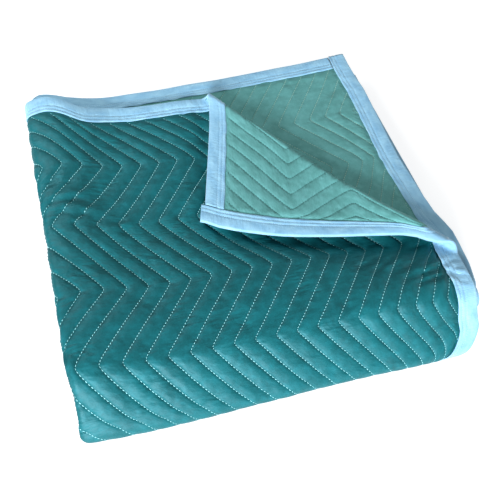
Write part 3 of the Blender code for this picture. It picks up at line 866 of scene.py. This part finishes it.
class Nodes:
    """Short calls for building a material's nodes."""

    def __init__(self, name):
        self.material = bpy.data.materials.new(name)
        self.material.use_nodes = True
        self.tree = self.material.node_tree
        self.shader = self.tree.nodes["Principled BSDF"]

    def add(self, kind, settings=None, **inputs):
        """A node, its settings, and its inputs by name, with _ for a space."""
        node = self.tree.nodes.new(kind)
        for key, value in (settings or {}).items():
            setattr(node, key, value)
        for key, value in inputs.items():
            self.set(node, key.replace("_", " "), value)
        return node

    def set(self, node, key, value):
        socket = node.inputs[int(key)] if key.isdigit() else node.inputs[key]
        if isinstance(value, bpy.types.NodeSocket):
            self.tree.links.new(value, socket)
        else:
            socket.default_value = value

    def cloth(self, stretch=(1.0, 1.0), layout="cloth"):
        """Flat layout of the cloth in metres, stretched."""
        layout = self.add("ShaderNodeUVMap", {"uv_map": layout})
        scaled = self.add("ShaderNodeMapping", Vector=layout.outputs["UV"], Scale=(*stretch, 1.0))
        return scaled.outputs["Vector"]

    def noise(self, where, size, detail=2.0, rough=0.5):
        """Noise with lumps of about this size, in metres."""
        node = self.add("ShaderNodeTexNoise", Vector=where, Scale=1.0 / size, Detail=detail,
                        Roughness=rough)
        return node.outputs["Fac"]

    def span(self, value, low, high, to=(0.0, 1.0)):
        """Maps the range from low to high to a new range."""
        node = self.add("ShaderNodeMapRange", Value=value, From_Min=low, From_Max=high,
                        To_Min=to[0], To_Max=to[1])
        return node.outputs["Result"]

    def blend(self, share, first, second):
        """Mixes two colours, which are sockets 6 and 7 of the node."""
        node = self.add("ShaderNodeMix", {"data_type": "RGBA"})
        for key, value in (("0", share), ("6", first), ("7", second)):
            self.set(node, key, value)
        return node.outputs[2]

    def product(self, first, second):
        node = self.add("ShaderNodeMath", {"operation": "MULTIPLY"})
        self.set(node, "0", first)
        self.set(node, "1", second)
        return node.outputs[0]

    def bumps(self, *layers):
        """Bumps over each other, from the lowest: pattern, height, strength."""
        below = {}
        for pattern, height, strength in layers:
            node = self.add("ShaderNodeBump", Height=pattern, Distance=height, Strength=strength,
                            **below)
            below = {"Normal": node.outputs["Normal"]}
        return below

    def finish(self, colour, **values):
        """The material, with its colour, its bumps and the shader's other values."""
        for key, value in {"Base_Color": colour, **values}.items():
            self.set(self.shader, key.replace("_", " "), value)
        return self.material


def cloth_material(name, deep, mid, pale, sheen, gathers):
    """Soft matt quilt face: cloudy colour, felted grain, painted shade along the stitch lines and
    small wrinkles beside them.
    """
    nodes = Nodes(name)
    cloth = nodes.cloth()
    crown = nodes.add("ShaderNodeAttribute", {"attribute_name": "crown"}).outputs["Fac"]
    clouds = nodes.noise(cloth, size=0.03, detail=3.0)
    grain = nodes.noise(cloth, size=0.0016, detail=3.0, rough=0.65)
    patches = nodes.noise(cloth, size=0.0095, rough=0.6)
    colour = nodes.blend(nodes.span(clouds, 0.3, 0.7), deep, mid)
    colour = nodes.blend(nodes.span(grain, 0.4, 0.72, to=(0.0, 0.3)), colour, pale)
    colour = nodes.blend(nodes.span(patches, 0.46, 0.74, to=(0.0, 0.45)), colour, pale)
    # Painted shade: the colour darkens towards the deep colour along the stitch lines and in the
    # binding, where the crown share is low
    colour = nodes.blend(nodes.span(crown, 0.0, 0.45, to=(0.45, 0.0)), colour, deep)
    wave = nodes.noise(cloth, size=0.018, detail=1.0)
    crossing = nodes.noise(nodes.cloth((0.45, 1.0), "seam"), size=0.0085, detail=1.5)
    gathered = nodes.span(nodes.noise(cloth, size=0.05, detail=1.0), 0.5, 0.68)
    pucker = nodes.noise(nodes.cloth((0.65, 1.0), "seam"), size=0.008)
    beside_line = nodes.span(crown, 0.1, 0.95, to=(1.0, 0.12))
    bumps = nodes.bumps((wave, 0.0016, 1.0),
                        (nodes.product(crossing, gathered), gathers, 1.0),
                        (nodes.product(pucker, beside_line), 0.0019, 1.0),
                        (grain, 0.0001, 0.8))
    return nodes.finish(colour, **bumps, Roughness=0.56, Specular_IOR_Level=0.44,
                        Specular_Tint=GLOSS_TINT, Sheen_Weight=sheen, Sheen_Roughness=0.5,
                        Sheen_Tint=pale)


def tape_material(name, deep, pale):
    """Woven tape: ribs both ways, cloudy colour, small creases and a slight gloss."""
    nodes = Nodes(name)
    ribs = [nodes.add("ShaderNodeTexWave", {"wave_type": "BANDS", "bands_direction": axis},
                      Vector=nodes.cloth(), Scale=1.0 / size, Distortion=uneven,
                      Detail=1.0).outputs["Fac"] for axis, size, uneven in TAPE_RIBS]
    clouds = nodes.noise(nodes.cloth((1.0, 2.2)), size=0.022, detail=3.0)
    creased = nodes.noise(nodes.cloth((1.0, 0.35)), size=0.0042)
    bumps = nodes.bumps((creased, 0.0007, 1.0), (nodes.product(*ribs), 0.00016, 0.8))
    return nodes.finish(nodes.blend(nodes.span(clouds, 0.3, 0.7), deep, pale), **bumps,
                        Roughness=0.62, Specular_IOR_Level=0.35, Sheen_Weight=0.25,
                        Sheen_Roughness=0.4)


def darker(colour, share):
    """A colour at a share of its brightness."""
    return tuple(share * value for value in colour[:3]) + (1.0,)


def thread_material(name, colour):
    """Twisted thread: fine strands, with a slight sheen."""
    nodes = Nodes(name)
    where = nodes.add("ShaderNodeTexCoord").outputs["Object"]
    strands = nodes.noise(where, size=0.0006, detail=1.0)
    return nodes.finish(nodes.blend(strands, darker(colour, THREAD_SHADE), colour),
                        **nodes.bumps((strands, 0.0001, 1.0)), Roughness=0.55)


# Ribs of the tape's weave: axis across them, pitch, unevenness
TAPE_RIBS = (("X", 0.0062, 0.6), ("Y", 0.005, 0.4))

# Colours are linear
# Faces of the quilt: material, its deep colour, which also serves as painted shade along the
# stitch lines and in the binding, its body and its worn parts, sheen, height of the gathers across
# its stitch lines
FACES = (
    ("teal_face", (0.001, 0.065, 0.071, 1.0), (0.0016, 0.099, 0.11, 1.0),
     (0.007, 0.155, 0.182, 1.0), 0.06, 0.0022),
    ("green_face", (0.074, 0.24, 0.222, 1.0), (0.104, 0.314, 0.3, 1.0),
     (0.15, 0.395, 0.39, 1.0), 0.15, 0.0004),
)
GLOSS_TINT = (0.5, 0.9, 1.0, 1.0)  # of the quilt
TAPE_DEEP = (0.188, 0.408, 0.59, 1.0)
TAPE_PALE = (0.29, 0.545, 0.705, 1.0)
# Threads: material, colour
THREADS = (
    ("quilting_thread", (0.32, 0.78, 0.8, 1.0)),
    ("under_thread", (0.42, 0.68, 0.56, 1.0)),
    # A dark copy of the green face's thread: painted shade of the stitch holes and grooves on the
    # turned corner
    ("turned_thread", (0.025, 0.13, 0.125, 1.0)),
    ("tape_thread", (0.46, 0.72, 0.88, 1.0)),
)
THREAD_SHADE = 0.72  # the dark side of a thread's strands
WHITE = (1.0, 1.0, 1.0, 1.0)
FLOOR = (0.45, 0.452, 0.455, 1.0)
FLOOR_SHADE = 0.985  # of its faint clouds
FLOOR_CLOUD = 1 / 3  # their size
FLOOR_GLOW = 0.75
FLOOR_REACH = 6.0  # each way from the middle
FLOOR_DROP = 0.0004  # it lies this far under the pile


def make_blanket():
    quilt = make_panel([cloth_material(*face) for face in FACES])
    pale, green, dark, blue = (thread_material(*thread) for thread in THREADS)
    tape = tape_material("tape", TAPE_DEEP, TAPE_PALE)
    outer = make_quilt_thread(1, "quilting_thread_teal_side", pale)
    inner = make_quilt_thread(-1, "quilting_thread_green_side", green, turned=False)
    # The turned corner's stitches take the dark thread, painted shade of their holes and grooves
    turned = make_quilt_thread(-1, "quilting_thread_turned_corner", dark, turned=True)
    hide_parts("quilted_panel")
    with_quilt = [outer, inner, turned]
    for name, length_range, cloth_of in strips():
        strip = make_strip(name, length_range, cloth_of, tape)
        thread = make_tape_thread(name, length_range, cloth_of, blue)
        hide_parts(name)
        with_quilt += [strip, thread]
    for piece in [quilt] + with_quilt:
        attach(piece, "root")


# ---- Floor, light and camera ----

CAMERA_AT = (-0.1699 - CENTRE_X, -0.5441 - CENTRE_Y, 0.7593)
CAMERA_TURNS = (19.831, 54.88, -6.0)  # degrees right of +Y, below the level, and of roll
FOCAL_PIXELS = 680.0
IMAGE_PIXELS = 500.0
SENSOR = 36.0

# Lamps: name, place, aim, width, power, colour
LAMPS = (
    ("key", (-1.4, -2.95, 1.15), (0.0, -0.05, 0.0), 1.16, 260.0, (0.95, 0.972, 1.04)),
    ("rear", (-0.48, 0.5, 0.66), (-0.1, 0.0, 0.0), 0.4, 3.6, (0.94, 0.98, 1.0)),
    ("right", (1.2, 0.1, 0.6), (0.2, 0.0, 0.0), 0.7, 2.6, (0.96, 0.99, 1.0)),
)
SKY = 0.29


def make_floor():
    nodes = Nodes("floor")
    where = nodes.add("ShaderNodeTexCoord").outputs["Object"]
    clouds = nodes.noise(where, size=FLOOR_CLOUD)
    material = nodes.finish(nodes.blend(clouds, darker(FLOOR, FLOOR_SHADE), FLOOR), Roughness=0.9,
                            Emission_Color=WHITE, Emission_Strength=FLOOR_GLOW)
    corners = ((-1, -1), (1, -1), (1, 1), (-1, 1))
    points = np.array([(FLOOR_REACH * x, FLOOR_REACH * y, -FLOOR_DROP) for x, y in corners])
    floor = make_mesh("floor", points, [(0, 1, 2, 3)], materials=[material])


def make_lamps():
    for name, at, aim, width, power, colour in LAMPS:
        lamp = bpy.data.lights.new(name, "AREA")
        lamp.shape = "DISK"
        lamp.size = width
        lamp.energy = power
        lamp.color = colour
        holder = add_object(name, lamp)
        holder.location = at
        holder.rotation_euler = (Vector(at) - Vector(aim)).to_track_quat("Z", "Y").to_euler()
    world = bpy.data.worlds.new("studio")
    world.use_nodes = True
    background = world.node_tree.nodes["Background"]
    background.inputs["Color"].default_value = WHITE
    background.inputs["Strength"].default_value = SKY
    bpy.context.scene.world = world


def make_camera():
    azimuth, fall, roll = map(math.radians, CAMERA_TURNS)
    ahead = Vector((math.sin(azimuth) * math.cos(fall), math.cos(azimuth) * math.cos(fall),
                    -math.sin(fall)))
    right = Vector((math.cos(azimuth), -math.sin(azimuth), 0.0))
    down = ahead.cross(right)
    right, down = (math.cos(roll) * right + math.sin(roll) * down,
                   math.cos(roll) * down - math.sin(roll) * right)
    camera = bpy.data.cameras.new("camera")
    camera.sensor_width = SENSOR
    camera.lens = FOCAL_PIXELS / IMAGE_PIXELS * SENSOR
    camera.clip_start = 0.01
    holder = add_object("camera", camera)
    turn = Matrix((right, -down, -ahead)).transposed()
    holder.matrix_world = Matrix.Translation(CAMERA_AT) @ turn.to_4x4()
    bpy.context.scene.camera = holder


make_blanket()
make_floor()
make_lamps()
make_camera()
bpy.context.scene.view_settings.view_transform = "Standard"
bpy.context.view_layer.update()
